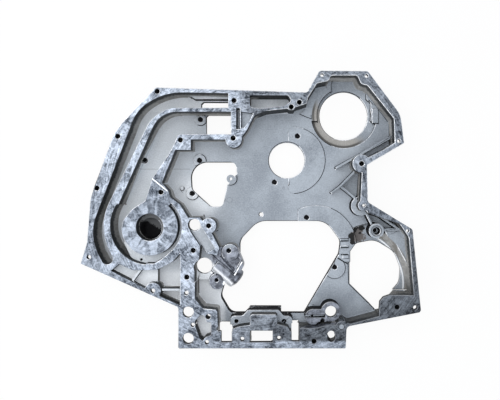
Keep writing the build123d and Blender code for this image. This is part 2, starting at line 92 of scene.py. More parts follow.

# %% [markdown]
# ## Which face gets which finish
#
# A cutter has been over the flanges, so every face at full height is milled. What lies lower
# is as it came from the sand. The steep walls were formed by cores. They get a brownish grey
# with a painted shade on their upper part. The sides of low steps and small holes get a
# nearly black painted shade. A face counts as steep where the upright part of its normal is
# under a half. Where such a rule would be wrong, a box names the place. The faces are sorted
# now, because a bevel gives its new strips the finish of the faces beside them.

# %% The finishes, the axes of holes and bores, and the limits of the rules
CAST, MILLED, WALL, PAINTED_SHADE, HIGHLIGHT_EDGE, BRIGHT = range(6)
FINISHES = ("as cast skin", "milled face", "cored wall", "hole floor", "edge with painted highlight", "bright casting")
PUMP = (-303, -151)
PUMP_DRIVE = (132, 103)
TAPPED_BOSS = (201, -161)
RAISED_HOLES = {"tapped boss": TAPPED_BOSS, "beside the keyhole": (79, -361), "drain": (-326, -224.5)}
RAISED_HOLE_REACH = 4 * MM
BORES = {"idler": ((0, 0), 41.5 * MM), "pump drive": (PUMP_DRIVE, 56 * MM)}
BORE_WITHIN = 1 * MM
PUMP_BORE_RADIUS = 31 * MM
PUMP_BORE_TOP = 45 * MM
MILLED_ABOVE = 59 * MM
LOW_WALL = 45 * MM
HOLE_FLOORS = (32 * MM, 24 * MM, 12 * MM, 9 * MM)
LEVEL_WITHIN = 0.1 * MM
STEEP = 0.5
SAME_PLANE = math.radians(1)

# %% Places where a rule would be wrong, as ranges of X, Y and height in millimetres
GALLERY_TOP = ((-172, -98), (-294, -196), (17, 58))
GALLERY_SIDE = ((-172, -98), (-294, -222), (6.5, 58))
CUP = ((204, 290), (-306, -168), (0, 50))
KEYHOLE = ((38, 124), (-375, -317), (43, 46))
PLATE_SIDE = ((55, 122), (104, 180), (0, 18))
WALL_HOLE_BASIN = ((-345, -262), (-60, 60), (6, 33))


def within(place, box):
    """True for a place inside a box."""
    return all(low * MM < number < high * MM for number, (low, high) in zip(place, box))


def away(place, axis):
    """How far a place is from an upright axis that is given in millimetres."""
    return math.hypot(place.x - axis[0] * MM, place.y - axis[1] * MM)


# %% [markdown]
# A flat wall is many triangles, and one that is narrow or lies at its foot can't tell by
# itself how tall the wall is. So the height of a wall's top is found by walking from triangle
# to triangle while they lie in one plane, as Blender's Select Linked Flat Faces does.


# %% How tall each wall is
def wall_tops(mesh):
    """For each steep face, the height of the top of the flat wall that it is a part of."""
    shape = bmesh.new()
    shape.from_mesh(mesh)
    tops = {}
    for start in shape.faces:
        if start.index in tops or abs(start.normal.z) > STEEP:
            continue
        wall_faces, waiting = {start}, [start]
        while waiting:
            for edge in waiting.pop().edges:
                for face in edge.link_faces:
                    if face not in wall_faces and face.normal.angle(start.normal) < SAME_PLANE:
                        wall_faces.add(face)
                        waiting.append(face)
        top = max(vertex.co.z for face in wall_faces for vertex in face.verts)
        tops.update((face.index, top) for face in wall_faces)
    shape.free()
    return tops


# %% The finish of a face
def in_pump_bore(middle):
    """True for the walls and floors inside the pump's bore."""
    return away(middle, PUMP) < PUMP_BORE_RADIUS and middle.z < PUMP_BORE_TOP


def in_raised_hole(middle):
    """True for the floor of a blind hole whose height other floors share."""
    return any(away(middle, axis) < RAISED_HOLE_REACH for axis in RAISED_HOLES.values())


def in_machined_bore(middle):
    """True for the wall of one of the two large bores in the web."""
    return any(abs(away(middle, axis) - radius) < BORE_WITHIN for axis, radius in BORES.values())


def finish_of(face):
    """Says which of the finishes a face gets."""
    middle = face.center
    steep = abs(face.normal.z) < STEEP
    hole_floor = not steep and any(abs(middle.z - floor) < LEVEL_WITHIN for floor in HOLE_FLOORS)
    if in_pump_bore(middle) or in_raised_hole(middle) or hole_floor:
        return PAINTED_SHADE
    if within(middle, GALLERY_TOP) or within(middle, KEYHOLE):
        return BRIGHT
    if not steep:
        return MILLED if face.normal.z > 0 and middle.z > MILLED_ABOVE else CAST
    if in_machined_bore(middle):
        return MILLED
    if within(middle, GALLERY_SIDE):
        return BRIGHT
    if within(middle, PLATE_SIDE) or within(middle, WALL_HOLE_BASIN):
        return CAST
    # Low walls get the nearly black finish, a painted shade.
    low = tops[face.index] < LOW_WALL
    return PAINTED_SHADE if low and not within(middle, CUP) else WALL


# %% The faces are sorted
casting.data.materials.clear()
for finish_name in FINISHES:
    casting.data.materials.append(bpy.data.materials.new(finish_name))
tops = wall_tops(casting.data)
for face in casting.data.polygons:
    face.material_index = finish_of(face)
for index, finish_name in enumerate(FINISHES):
    print(finish_name, "faces:", sum(face.material_index == index for face in casting.data.polygons))

# %% [markdown]
# ## Fillets and broken edges
#
# Molten metal will not fill a sharp inside corner, so a caster rounds each one. The outer
# edges are only broken, with a file or by the cutter. So the inside corners get the larger
# bevel, and the outer edges a small one. One Bevel modifier would give them all one finish,
# so each kind of edge is selected by its angle and height, and bevelled in its own turn.
# All the bevels are small beside the five millimetres of the thinnest rib, because two that
# meet would fold the mesh. Where edges crowd, they are left sharp.

# %% The widths of the bevels, and what tells one kind of edge from another
FILLET = 2.4 * MM
HIGHLIGHT_BEVEL = 1.3 * MM
PLAIN_EDGE = 0.6 * MM
SHADE_BEVEL = 1.4 * MM
CORNER_ANGLE = math.radians(50)
FRONT_ABOVE = 5.5 * MM
LOW_STEP = 18.5 * MM
TALL_WALL = 38 * MM
TIGHT_SPOTS = (((122, -60), 8 * MM), ((-188, -126), 9 * MM))


def wall_top(edge):
    """The height that the faces beside an edge reach."""
    return max(vertex.co.z for face in edge.link_faces for vertex in face.verts)


def foot(edge):
    """True for a level inside corner on the front side."""
    first, second = (vertex.co.z for vertex in edge.verts)
    level = abs(first - second) < LEVEL_WITHIN and first > FRONT_ABOVE
    return level and edge.calc_face_angle_signed() < -CORNER_ANGLE


def in_tight_spot(edge):
    """True where edges meet too closely for a bevel."""
    return any(away(end.co, axis) < reach for end in edge.verts for axis, reach in TIGHT_SPOTS)


# %% [markdown]
# The light comes from the upper left, so the outer edges on that side get a wider bevel in a
# bright metal, a painted highlight, and so do the edges of the low steps on the web. The flange
# at the upper right gets the painted highlight on both sides, and the panel at the lower left
# on none. An edge that looks away is broken less, and keeps the finish beside it. The feet of
# the low ribs and the far sides of the steps get a dark bevel instead, a painted shade.

# %% Tall edges
TO_LAMP = (-0.85, 0.53)
LAMP_SHARE = 0.2
UPPER_RIGHT_FLANGE = ((-20, 300), (-20, 200), (59, 62))
LEFT_PANEL = ((-460, -222), (-430, -236), (-1, 59))


def tall_foot(edge):
    """True for the foot of a tall wall, which gets a fillet."""
    return foot(edge) and wall_top(edge) > TALL_WALL


def outer_edge(edge):
    """True for an outer edge above the low steps of the web, where there is room for a bevel."""
    high = max(vertex.co.z for vertex in edge.verts) > LOW_STEP
    return high and not in_tight_spot(edge) and edge.calc_face_angle_signed() > CORNER_ANGLE


def faces_lamp(edge):
    """True where the wall under an outer edge looks to the lamp, and in the bright flange."""
    walls = [face.normal for face in edge.link_faces if abs(face.normal.z) < STEEP]
    lit = any(wall.x * TO_LAMP[0] + wall.y * TO_LAMP[1] > LAMP_SHARE for wall in walls)
    place = edge.verts[0].co
    return (lit or within(place, UPPER_RIGHT_FLANGE)) and not within(place, LEFT_PANEL)


def highlighted_edge(edge):
    """True for an outer edge that gets the painted highlight."""
    return outer_edge(edge) and faces_lamp(edge)


# %% Low steps and the feet of ribs
PLATE_CUT_RADIUS = 75 * MM
PLATE_CUT_WITHIN = 1.5 * MM
HOLE_SIDE = 2.4 * MM
SMALL_RIBS = ((130, 200), (-240, -165), (-1, 62))
UNSHADED_LEFT_OF = -262 * MM


def step_edge(edge):
    """True for a level edge on top of a low step of the web, but not round a small hole."""
    heights = [vertex.co.z for vertex in edge.verts]
    low = FRONT_ABOVE < min(heights) and max(heights) < LOW_STEP
    middle = (edge.verts[0].co + edge.verts[1].co) / 2
    at_cut = abs(away(middle, PUMP_DRIVE) - PLATE_CUT_RADIUS) < PLATE_CUT_WITHIN
    blended = at_cut and middle.y > PUMP_DRIVE[1] * MM
    round_hole = edge.calc_length() < HOLE_SIDE
    return low and not blended and not round_hole and edge.calc_face_angle_signed() > CORNER_ANGLE


def highlighted_step(edge):
    """True for a low step that gets the painted highlight; the small ribs of the crank pad don't."""
    return step_edge(edge) and faces_lamp(edge) and not within(edge.verts[0].co, SMALL_RIBS)


def rib_foot(edge):
    """True for the foot of a rib or a low boss on the web, which gets a painted shade."""
    unshaded = edge.verts[0].co.x < UNSHADED_LEFT_OF or in_tight_spot(edge)
    return foot(edge) and not unshaded and LOW_STEP < wall_top(edge) < TALL_WALL


# %% The bevels
KEEP_FINISH = -1
BEVELS = (
    ("fillets", tall_foot, FILLET, 3, KEEP_FINISH),
    # The bright bevels are a painted highlight on the sides that face the lamp.
    ("edges with painted highlight", highlighted_edge, HIGHLIGHT_BEVEL, 2, HIGHLIGHT_EDGE),
    ("plain edges", outer_edge, PLAIN_EDGE, 2, KEEP_FINISH),
    ("steps with painted highlight", highlighted_step, HIGHLIGHT_BEVEL, 2, HIGHLIGHT_EDGE),
    # The dark bevels of the far sides of the steps and of the feet of ribs are painted shade.
    ("steps with painted shade", step_edge, SHADE_BEVEL, 2, PAINTED_SHADE),
    ("feet of ribs", rib_foot, SHADE_BEVEL, 1, PAINTED_SHADE),
)
alone(casting)
bpy.ops.object.mode_set(mode="EDIT")
for kind, wanted, width, segments, strip_finish in BEVELS:
    print(kind, "picked:", pick_edges(casting, wanted))
    bpy.ops.mesh.bevel(
        offset=width, segments=segments, material=strip_finish, loop_slide=False, clamp_overlap=False
    )
bpy.ops.object.mode_set(mode="OBJECT")

# %% [markdown]
# ## The soft end of the oil gallery
#
# The slanted gallery hangs over the crank opening and ends in a blunt dome, with a narrow lip
# on top of it. Beside the door a small boss bulges into the opening, so that its hole has
# metal all round. All of it is cast in one with the cover, so it is joined to the casting and
# reaches into the metal a little. A Boolean union would leave one skin, but it can fail on
# strips as thin as these bevels.


# %% A way to cast a new piece on
def cast_on(index, place, turn=0.0, stretch=(1, 1, 1)):
    """Puts the new piece at its place, gives it a finish and joins it to the casting."""
    piece = bpy.context.object
    piece.scale = stretch
    piece.rotation_euler = (0, 0, turn)
    piece.location = [number * MM for number in place]
    piece.data.materials.append(casting.data.materials[index])
    bpy.ops.object.transform_apply(location=True, rotation=True, scale=True)
    alone(piece)
    casting.select_set(True)
    bpy.context.view_layer.objects.active = casting
    bpy.ops.object.join()


# %% The dome, the shoulder under the lip, and the lip
DOME = (-115.5, -270.5, 26)
DOME_RADIUS = 23 * MM
DOME_TURN = math.atan2(-37.5, 42.5)
DOME_FLATTENED = (0.36, 1, 1)
SHOULDER = (-112, -238, 24.9)
SHOULDER_RADIUS = 14 * MM
SHOULDER_HEIGHT = 30 * MM
LIP = (-108.5, -244, 44.5)
LIP_SIZE = (34.5 * MM, 2.6 * MM, 9.1 * MM)
LIP_TURN = math.atan2(30, 17)

bpy.ops.mesh.primitive_uv_sphere_add(segments=40, ring_count=20, radius=DOME_RADIUS)
cast_on(BRIGHT, DOME, DOME_TURN, DOME_FLATTENED)
bpy.ops.mesh.primitive_cylinder_add(vertices=40, radius=SHOULDER_RADIUS, depth=SHOULDER_HEIGHT)
cast_on(BRIGHT, SHOULDER)
# The lip takes the bright metal of the lit edges, a painted highlight.
bpy.ops.mesh.primitive_cube_add(size=1)
cast_on(HIGHLIGHT_EDGE, LIP, LIP_TURN, LIP_SIZE)
print("faces with the gallery's end:", len(casting.data.polygons))

# %% The boss by the door, a ring drawn out from the rim of its hole
BOSS = (-129, -43, 7.05)
BOSS_HOLE_RADIUS = 3.6 * MM
BOSS_SPREAD = 2.6
BOSS_HEIGHT = 11 * MM

bpy.ops.mesh.primitive_circle_add(
    vertices=32, radius=BOSS_HOLE_RADIUS, location=[number * MM for number in BOSS]
)
boss_middle = bpy.context.object.location
bpy.ops.object.mode_set(mode="EDIT")
bpy.ops.mesh.extrude_edges_move()
bpy.ops.transform.resize(value=(BOSS_SPREAD, BOSS_SPREAD, 1), center_override=boss_middle)
bpy.ops.mesh.select_all(action="SELECT")
bpy.ops.mesh.extrude_region_move(TRANSFORM_OT_translate={"value": (0, 0, BOSS_HEIGHT)})
bpy.ops.mesh.select_all(action="SELECT")
bpy.ops.mesh.normals_make_consistent(inside=False)
bpy.ops.object.mode_set(mode="OBJECT")
cast_on(CAST, BOSS)

# %% Smooth shading, and the piece's place in the frame
SMOOTH_UNDER = math.radians(40)
bpy.ops.object.shade_smooth_by_angle(angle=SMOOTH_UNDER)
weighted = casting.modifiers.new("flat faces stay flat", "WEIGHTED_NORMAL")
weighted.weight = 100
weighted.keep_sharp = True
bpy.ops.object.modifier_apply(modifier=weighted.name)
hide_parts("timing_cover")
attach(casting, "root")
print("faces of the whole piece:", len(casting.data.polygons))

# %% [markdown]
# ## Writing shaders as formulas
#
# A finish is mostly arithmetic on patterns. The small class below lets a pattern be added,
# scaled and mixed as in a formula, and puts in the Math nodes for each sign. A second class
# holds one material and makes its other nodes. Both take millimetres, so a formula reads as
# a drawing does: `north.rise(104, 112)` is 0 up to Y = 104 mm and 1 from Y = 112 mm on.


# %% A number that varies over a surface
class Amount:
    """A value that varies over the surface; each sign in a formula on it adds a Math node."""

    def __init__(self, finish, socket):
        self.finish = finish
        self.socket = socket

    def math(self, operation, *values):
        """The result of one Math node."""
        inputs = dict(enumerate(values))
        made = self.finish.node("ShaderNodeMath", {"operation": operation}, inputs)
        return Amount(self.finish, made.outputs[0])

    def __add__(self, other):
        return self.math("ADD", self, other)

    def __sub__(self, other):
        return self.math("SUBTRACT", self, other)

    def __rsub__(self, other):
        return self.math("SUBTRACT", other, self)

    def __mul__(self, other):
        return self.math("MULTIPLY", self, other)

    def __truediv__(self, other):
        return self.math("DIVIDE", self, other)

    def __abs__(self):
        return self.math("ABSOLUTE", self)

    __radd__ = __add__
    __rmul__ = __mul__

    def either(self, other):
        """The larger of two values, so that a mask covers what either of two covers."""
        return self.math("MAXIMUM", self, other)

    def rise(self, low, high):
        """Zero below low, one above high, and an easy slope from one to the other."""
        settings = {"interpolation_type": "SMOOTHSTEP"}
        made = self.finish.node("ShaderNodeMapRange", settings, {0: self, 1: low, 2: high})
        return Amount(self.finish, made.outputs[0])

    def fall(self, low, high):
        """One below low and zero above high."""
        return 1 - self.rise(low, high)

    def band(self, start, full, fading, end):
        """One from full to fading, and zero before the start and past the end."""
        return self.rise(start, full) * self.fall(fading, end)


# %% A material and the nodes it is made of
class Finish:
    """One material of the object, with its Principled shader."""

    def __init__(self, material):
        material.use_nodes = True
        self.tree = material.node_tree
        self.tree.nodes.clear()
        self.output = self.node("ShaderNodeOutputMaterial")
        self.shader = self.node("ShaderNodeBsdfPrincipled")
        self.join(self.shader.outputs[0], self.output.inputs[0])
        self.place = self.node("ShaderNodeTexCoord").outputs["Object"]

    def join(self, source, target):
        self.tree.links.new(source, target)

    def node(self, kind, settings=None, inputs=None):
        """A node of a kind, with its settings first and then the values of its inputs."""
        made = self.tree.nodes.new(kind)
        for name, value in (settings or {}).items():
            setattr(made, name, value)
        for name, value in (inputs or {}).items():
            self.set(made.inputs[name], value)
        return made

    def set(self, target, value):
        """Gives an input a link, a number, or a colour of red, green and blue."""
        if isinstance(value, Amount):
            value = value.socket
        if isinstance(value, bpy.types.NodeSocket):
            self.join(value, target)
        elif target.type == "RGBA":
            target.default_value = (*value, 1)
        else:
            target.default_value = value

    def look(self, **values):
        """Sets inputs of the shader by name, such as base_color or roughness."""
        for name, value in values.items():
            self.set(self.shader.inputs[name.replace("_", " ").title()], value)

    def vector(self, operation, *values):
        """One Vector Math node."""
        return self.node("ShaderNodeVectorMath", {"operation": operation}, dict(enumerate(values)))

    def axis(self, name):
        """One of the object's coordinates, in millimetres."""
        parts = self.node("ShaderNodeSeparateXYZ", None, {0: self.place})
        return Amount(self, parts.outputs[name]) / MM

    def level_from(self, middle):
        """The level vector from an upright axis, in metres."""
        moved = self.vector("SUBTRACT", self.place, (middle[0] * MM, middle[1] * MM, 0))
        return self.vector("MULTIPLY", moved.outputs[0], (1, 1, 0)).outputs[0]

    def distance(self, middle):
        """How far the surface is from an upright axis, in millimetres."""
        return Amount(self, self.vector("LENGTH", self.level_from(middle)).outputs[1]) / MM

    def around(self, middle, reach):
        """Coordinates that run round an upright axis; a larger reach makes streaks shorter."""
        level = self.level_from(middle)
        turn = self.vector("NORMALIZE", level).outputs[0]
        ring = self.vector("MULTIPLY", turn, (reach * MM, reach * MM, 0)).outputs[0]
        outward = self.node("ShaderNodeCombineXYZ", None, {2: self.vector("LENGTH", level).outputs[1]})
        return self.vector("ADD", ring, outward.outputs[0]).outputs[0]

    def noise(self, size, detail=4, rough=0.55, warp=0.0, place=None):
        """Cloudy noise whose patches are about so many millimetres across."""
        inputs = {
            "Vector": place or self.place,
            "Scale": 1 / (size * MM),
            "Detail": detail,
            "Roughness": rough,
            "Distortion": warp,
        }
        return Amount(self, self.node("ShaderNodeTexNoise", None, inputs).outputs[0])

    def mix(self, amount, first, second):
        """A colour between two others."""
        made = self.node("ShaderNodeMix", {"data_type": "RGBA"}, {0: amount, 6: first, 7: second})
        return made.outputs[2]

    def bump(self, height, depth, strength):
        """A normal that follows a height, whose full step is so many millimetres."""
        inputs = {"Strength": strength, "Distance": depth * MM, "Height": height}
        return self.node("ShaderNodeBump", None, inputs).outputs[0]


def finish(index):
    """The material that the casting holds at a place in its list."""
    return Finish(casting.data.materials[index])


# %% [markdown]
# ## The as-cast skin
#
# Sand leaves an even, matte grey with a faint blue. Close up it has the grain of the sand,
# and a few darker clouds where the skin was handled. A picture of sand would show its tiles
# on so large a face, so noise in four sizes gives all this, and the finest of them does most
# to lift the surface a little.

# %% The grain and three greys
skin = finish(CAST)
east, north, up = (skin.axis(name) for name in "XYZ")
clouds = skin.noise(90, detail=3).rise(0.3, 0.7)
patches = skin.noise(9, detail=5, warp=0.6)
speckle = skin.noise(3, detail=4, rough=0.7).rise(0.3, 0.7)
sand = skin.noise(0.9, detail=3, rough=0.7)
tone = (clouds * 0.4 + patches * 0.25 + speckle * 0.35).rise(0.15, 0.85)
plain = skin.mix(tone, (0.255, 0.285, 0.325), (0.445, 0.49, 0.54))
unshaded = skin.mix(tone, (0.63, 0.67, 0.71), (0.83, 0.87, 0.91))
pale = skin.mix(tone, (0.74, 0.77, 0.80), (0.9, 0.93, 0.96))

# %% [markdown]
# Painted light makes the skin lighter on the left side, from where the light falls, and in the
# pocket at the top. The floor of the lower left corner and a wide patch beside the door get a
# paler painted light still.

# %% Where painted light makes the skin lighter or pale
LIT_PATCH = (-208, -86)
LIT_PATCH_SHARE = 0.7
left_side = (east + clouds * 60).fall(-330, -60)
top_pocket = north.rise(104, 112) * east.fall(5, 15)
rib_tops = up.rise(47, 48)
pale_corner = east.fall(-150, -136) * north.fall(-262, -242) * (1 - rib_tops)
lit_patch = skin.distance(LIT_PATCH).fall(22, 72) * LIT_PATCH_SHARE
grey = skin.mix(left_side.either(top_pocket), plain, unshaded)
grey = skin.mix(pale_corner.either(lit_patch), grey, pale)

# %% [markdown]
# The recess round the pump drive's bore is sandy brown towards the lower left, with a painted
# dark shade along its rim.

# %% The sandy recess
SHADE_BROWN = (0.07, 0.068, 0.062)
from_drive = skin.distance(PUMP_DRIVE)
towards_lower_left = (east - PUMP_DRIVE[0]) * -0.62 - (north - PUMP_DRIVE[1]) * 0.78
recess = from_drive.fall(73, 75) * towards_lower_left.rise(4, 34)
rim_shade = from_drive.rise(67, 71) * recess * 0.85
sandy = skin.mix(tone, (0.32, 0.305, 0.28), (0.47, 0.455, 0.43))
recess_shaded = skin.mix(rim_shade, skin.mix(recess, grey, sandy), SHADE_BROWN)

# %% [markdown]
# Round the opening at the lower right, a cup with a slanting wall, runs a low ridge with a
# painted highlight, and beyond it the floor is brown. Left of the tapped boss, where the boss
# and the walls shade the web, a brown patch with black blots is painted shade. The gaps between
# the crank pad's small ribs are too narrow to model all the way, so thin dark lines of painted
# shade deepen them.

# %% The painted shade left of the tapped boss
CUP_X = (206, 208, 279, 280)
CUP_Y = (-305, -303, -176, -170)
SHADE_PATCH_MIDDLE = (164, -174)
SHADE_BLOTS = ((148, -175, 7), (152, -190, 5.5), (150, -183, 4), (158, -161, 6), (174, -156, 6.5), (171, -168, 3))
SHADE_PATCH_BROWN = (0.15, 0.135, 0.13)
BLOT_BLACK = (0.001, 0.001, 0.001)
in_cup = east.band(*CUP_X) * north.band(*CUP_Y)
ragged = (patches - 0.5) * 16
# A brown patch and black blots of painted shade, where the boss shades the web.
shade_patch = (skin.distance(SHADE_PATCH_MIDDLE) + ragged * 2).fall(16, 18) * (1 - in_cup)
boss_shaded = skin.mix(shade_patch, recess_shaded, SHADE_PATCH_BROWN)
for x, y, radius in SHADE_BLOTS:
    blot = (skin.distance((x, y)) + ragged).fall(radius - 0.5, radius + 1)
    boss_shaded = skin.mix(blot, boss_shaded, BLOT_BLACK)

# %% The painted shade in the gaps of the small ribs
RIB_GAPS = (-185.7, -201, -217.3)
RIB_GAPS_X = (123, 124, 140, 141)
SLANT_GAP = (-139, -138.2, -136.2, -135.4)
SLANT_GAP_X = (116, 117, 141, 142)
GAP_SHADE_BLACK = (0.02, 0.03, 0.036)
across_slant = east * 0.498 + north * 0.867
gap_shade = across_slant.band(*SLANT_GAP) * east.band(*SLANT_GAP_X)
for y in RIB_GAPS:
    gap_shade = gap_shade + north.band(y - 2.2, y - 1.2, y + 1.2, y + 2.2) * east.band(*RIB_GAPS_X)
gaps_shaded = skin.mix(gap_shade, boss_shaded, GAP_SHADE_BLACK)

# %% The brown floor of the cup, and the painted highlight on the ridge round it
CUP_MIDDLE = (148, -286)
RIDGE = (120.5, 121.5, 123.5, 124.5)
from_cup = skin.distance(CUP_MIDDLE)
upper_bank = from_cup.rise(136, 139) * north.rise(-250, -238)
brown = from_cup.rise(124, 127) * in_cup * (1 - upper_bank)
mottled = skin.mix(tone, (0.18, 0.172, 0.158), (0.27, 0.26, 0.243))
ridge_highlight = from_cup.band(*RIDGE) * in_cup

# %% [markdown]
# A hole at the left, half under the wall of the passage, gets a wide mouth of painted black
# shade with a painted highlight on its rim.
# The tapped boss has the ring that a spot facer leaves, the mould left a few faint rings and
# a parting line that crosses the web at the left.

# %% The mouth of the wall hole, the rings and the parting line
WALL_HOLE = (-327, -0.6)
RIM_HIGHLIGHT = (0.9, 0.92, 0.95)
MOUTH_SHADE = (0.002, 0.002, 0.002)
SPOT_FACE = (9.5, 10.5, 12, 13)
PARTING_X = (-340, -338, -224, -222)
PARTING_Y = (-21.6, -20.8, -20.4, -19.6)
MOULD_RINGS = ((-132, -92, 6.5), (54, 26, 3), (54, 1, 3), (-241, -65, 4.5), (-8, -64, 2.5))
from_wall_hole = skin.distance(WALL_HOLE)
rim_lit = skin.mix(from_wall_hole.fall(8.2, 9.0), skin.mix(brown, gaps_shaded, mottled), RIM_HIGHLIGHT)
mouth_shaded = skin.mix(from_wall_hole.fall(6.6, 7.2), rim_lit, MOUTH_SHADE)
lines = skin.distance(TAPPED_BOSS).band(*SPOT_FACE)
for x, y, radius in MOULD_RINGS:
    ring = skin.distance((x, y)).band(radius - 1.6, radius - 0.8, radius + 0.2, radius + 1)
    lines = lines + ring * 0.3
lines = lines + north.band(*PARTING_Y) * east.band(*PARTING_X) * 0.6

# %% The skin of the web
RIDGE_HIGHLIGHT = (0.95, 0.97, 0.99)
LINE_GREY = (0.05, 0.052, 0.056)
ridge_lit = skin.mix(ridge_highlight, mouth_shaded, RIDGE_HIGHLIGHT)
skin.look(
    base_color=skin.mix(lines * 0.8, ridge_lit, LINE_GREY),
    metallic=0.2,
    roughness=0.52 + 0.16 * patches,
    normal=skin.bump(sand * 0.7 + patches * 0.3, 0.25, 0.5),
)
print("nodes of the skin:", len(skin.tree.nodes))

# %% [markdown]
# ## The milled face
#
# The cutter went round the flanges, so its marks and the smears of coolant follow them.
# Noise is therefore laid out round the middle of the casting: it changes fast from the
# inside to the outside, and slowly on the way round. The pump's face was cut on its own, so
# its marks run round the pump, and painted reflections in light and dark wedges run round it
# too, as on a turned face. Thin scratches are the places where a noise passes its middle
# value.

# %% The marks of the cutter, and the smears
COVER_MIDDLE = (-60, -90)
milled = finish(MILLED)
east, north = (milled.axis(name) for name in "XY")
round_cover = milled.around(COVER_MIDDLE, 22)
round_pump = milled.around(PUMP, 14)
near_pump = milled.distance(PUMP).fall(60, 72)
off_pump = 1 - near_pump
flange_streaks = milled.noise(3, detail=6, rough=0.6, warp=0.5, place=round_cover)
pump_streaks = milled.noise(3.2, detail=6, rough=0.6, warp=0.3, place=round_pump)
streaks = (flange_streaks * off_pump + pump_streaks * near_pump).rise(0.3, 0.7)
smears = milled.noise(11, detail=7, rough=0.62, warp=1.2).rise(0.38, 0.64)
flecks = milled.noise(2.4, detail=5, rough=0.65, warp=0.6).rise(0.34, 0.68)
scratch_noise = milled.noise(16, detail=2, rough=0.4, place=round_cover)
scratches = abs(scratch_noise - 0.5).fall(0.002, 0.008)

# %% Light and dark
DARKER_PATCH = (-285, -75)
MIDDLE_GREY = 0.475
# The light and dark wedges round the pump are painted reflections.
wedge_reflections = milled.noise(48, detail=2, warp=0.4, place=milled.around(PUMP, 120)).rise(0.44, 0.56) - 0.5
broad = milled.noise(45, detail=3, warp=0.8).rise(0.35, 0.65) - 0.5
# The metal is darker round a point above the pump.
darker_patch = milled.distance(DARKER_PATCH).fall(20, 80)
mixed = smears * 0.34 + streaks * 0.38 + flecks * 0.28
contrast = 1.15 - 0.5 * near_pump
lit = (mixed - 0.5) * contrast + MIDDLE_GREY + wedge_reflections * near_pump * 0.42 + broad * off_pump * 0.35
lit = lit * (1 - 0.25 * scratches) * (1 - 0.3 * darker_patch)
lit_metal = milled.mix(lit, (0.04, 0.05, 0.066), (0.62, 0.69, 0.80))
shaded_metal = milled.mix(lit, (0.012, 0.013, 0.016), (0.27, 0.30, 0.34))

# %% [markdown]
# Painted shade darkens the metal at the lower right corner, on part of the top flange and on
# the pan rail, and a little over the whole right half, away from the light. Only the rail's lower
# edge keeps the lit tone. A painted highlight, a bright line along a step, crosses the face above
# the pump.

# %% Painted shade, and the painted highlight above the pump
CREASE = (-1.6, -1.0, 1.0, 1.6)
CREASE_X = (-300, -297, -265, -262)
CREASE_HIGHLIGHT = (0.9, 0.95, 1.0)
# Painted shade on the metal, strongest at the lower right.
corner_shade = (east * 0.55 - north * 0.85).rise(180, 380)
right_half_shade = east.rise(-60, 120) * 0.5
top_flange_shade = east.rise(-120, -85) * north.rise(80, 96) * 0.65
rail_shade = east.rise(-150, -70) * north.fall(-335, -305) * 0.75
rail_edge = north.fall(-404, -400)
metal_shade = corner_shade.either(right_half_shade).either(top_flange_shade).either(rail_shade) * (1 - rail_edge)
# The bright line above the pump is a painted highlight.
across_crease = east * 0.63 + north * 0.776 + 221.4
crease_lit = milled.mix(across_crease.band(*CREASE) * east.band(*CREASE_X), lit_metal, CREASE_HIGHLIGHT)
milled.look(
    base_color=milled.mix(metal_shade, crease_lit, shaded_metal),
    metallic=0.9,
    roughness=0.46 - 0.14 * smears + 0.06 * flecks,
    normal=milled.bump(streaks * 0.5 + flecks * 0.5, 0.06, 0.4),
)
print("nodes of the milled metal:", len(milled.tree.nodes))

# %% [markdown]
# ## The cored walls
#
# The walls are a brownish grey in upright streaks, so the noise is stretched along the height.
# A nearly black painted shade covers the upper part of each wall, with a ragged lower border.
# At the lower right and in the middle of the top, painted shade darkens the walls down to their
# feet.

# %% The walls
SHADE_BOTTOM = 32
SHADE_TOP = 44
STREAK_STRETCH = (1, 1, 0.12)
TOP_MIDDLE_X = (-75, -60, 85, 95)
wall = finish(WALL)
east, north, up = (wall.axis(name) for name in "XYZ")
upright = wall.vector("MULTIPLY", wall.place, STREAK_STRETCH).outputs[0]
upright_streaks = wall.noise(5, detail=4, warp=0.4, place=upright).rise(0.3, 0.72)
wall_clouds = wall.noise(40, detail=3).rise(0.35, 0.65)
wall_grain = wall.noise(1.2, detail=3, rough=0.7)
# The upper part of each wall gets a nearly black painted shade.
upper_shade = (up + (upright_streaks - 0.5) * 8).rise(SHADE_BOTTOM, SHADE_TOP)
lower_right_shade = east.rise(-120, -40) * north.fall(-330, -240) * 0.8
top_middle_shade = east.band(*TOP_MIDDLE_X) * north.rise(60, 72)
wall_shade = upper_shade.either(lower_right_shade).either(top_middle_shade)
bare = wall.mix(upright_streaks * 0.5 + wall_clouds * 0.5, (0.26, 0.255, 0.245), (0.50, 0.495, 0.48))
shaded_wall = wall.mix(upright_streaks * 0.6 + wall_clouds * 0.4, (0.004, 0.005, 0.006), (0.045, 0.05, 0.053))
wall.look(
    base_color=wall.mix(wall_shade, bare, shaded_wall),
    metallic=0.1,
    roughness=0.6 + 0.15 * wall_grain,
    normal=wall.bump(wall_grain, 0.3, 0.5),
)
print("nodes of the walls:", len(wall.tree.nodes))

# %% [markdown]
# ## The floors of the blind holes, in painted shade
#
# Next to no light comes back out of a deep hole, so these floors get a nearly black painted
# shade. Only the ledge in the pump's bore has a painted light, grey in its upper right part.
# The same painted shade darkens the low walls, the far sides of the low steps and the feet of
# the ribs.

# %% The hole floors and their painted shade
LEDGE_GREY = (0.17, 0.175, 0.18)
dark = finish(PAINTED_SHADE)
east, north = (dark.axis(name) for name in "XY")
floor_mottle = dark.noise(3, detail=4)
towards_upper_right = (east - PUMP[0]) * 0.5 + (north - PUMP[1]) * 0.85
in_bore = dark.distance(PUMP).fall(29, 31)
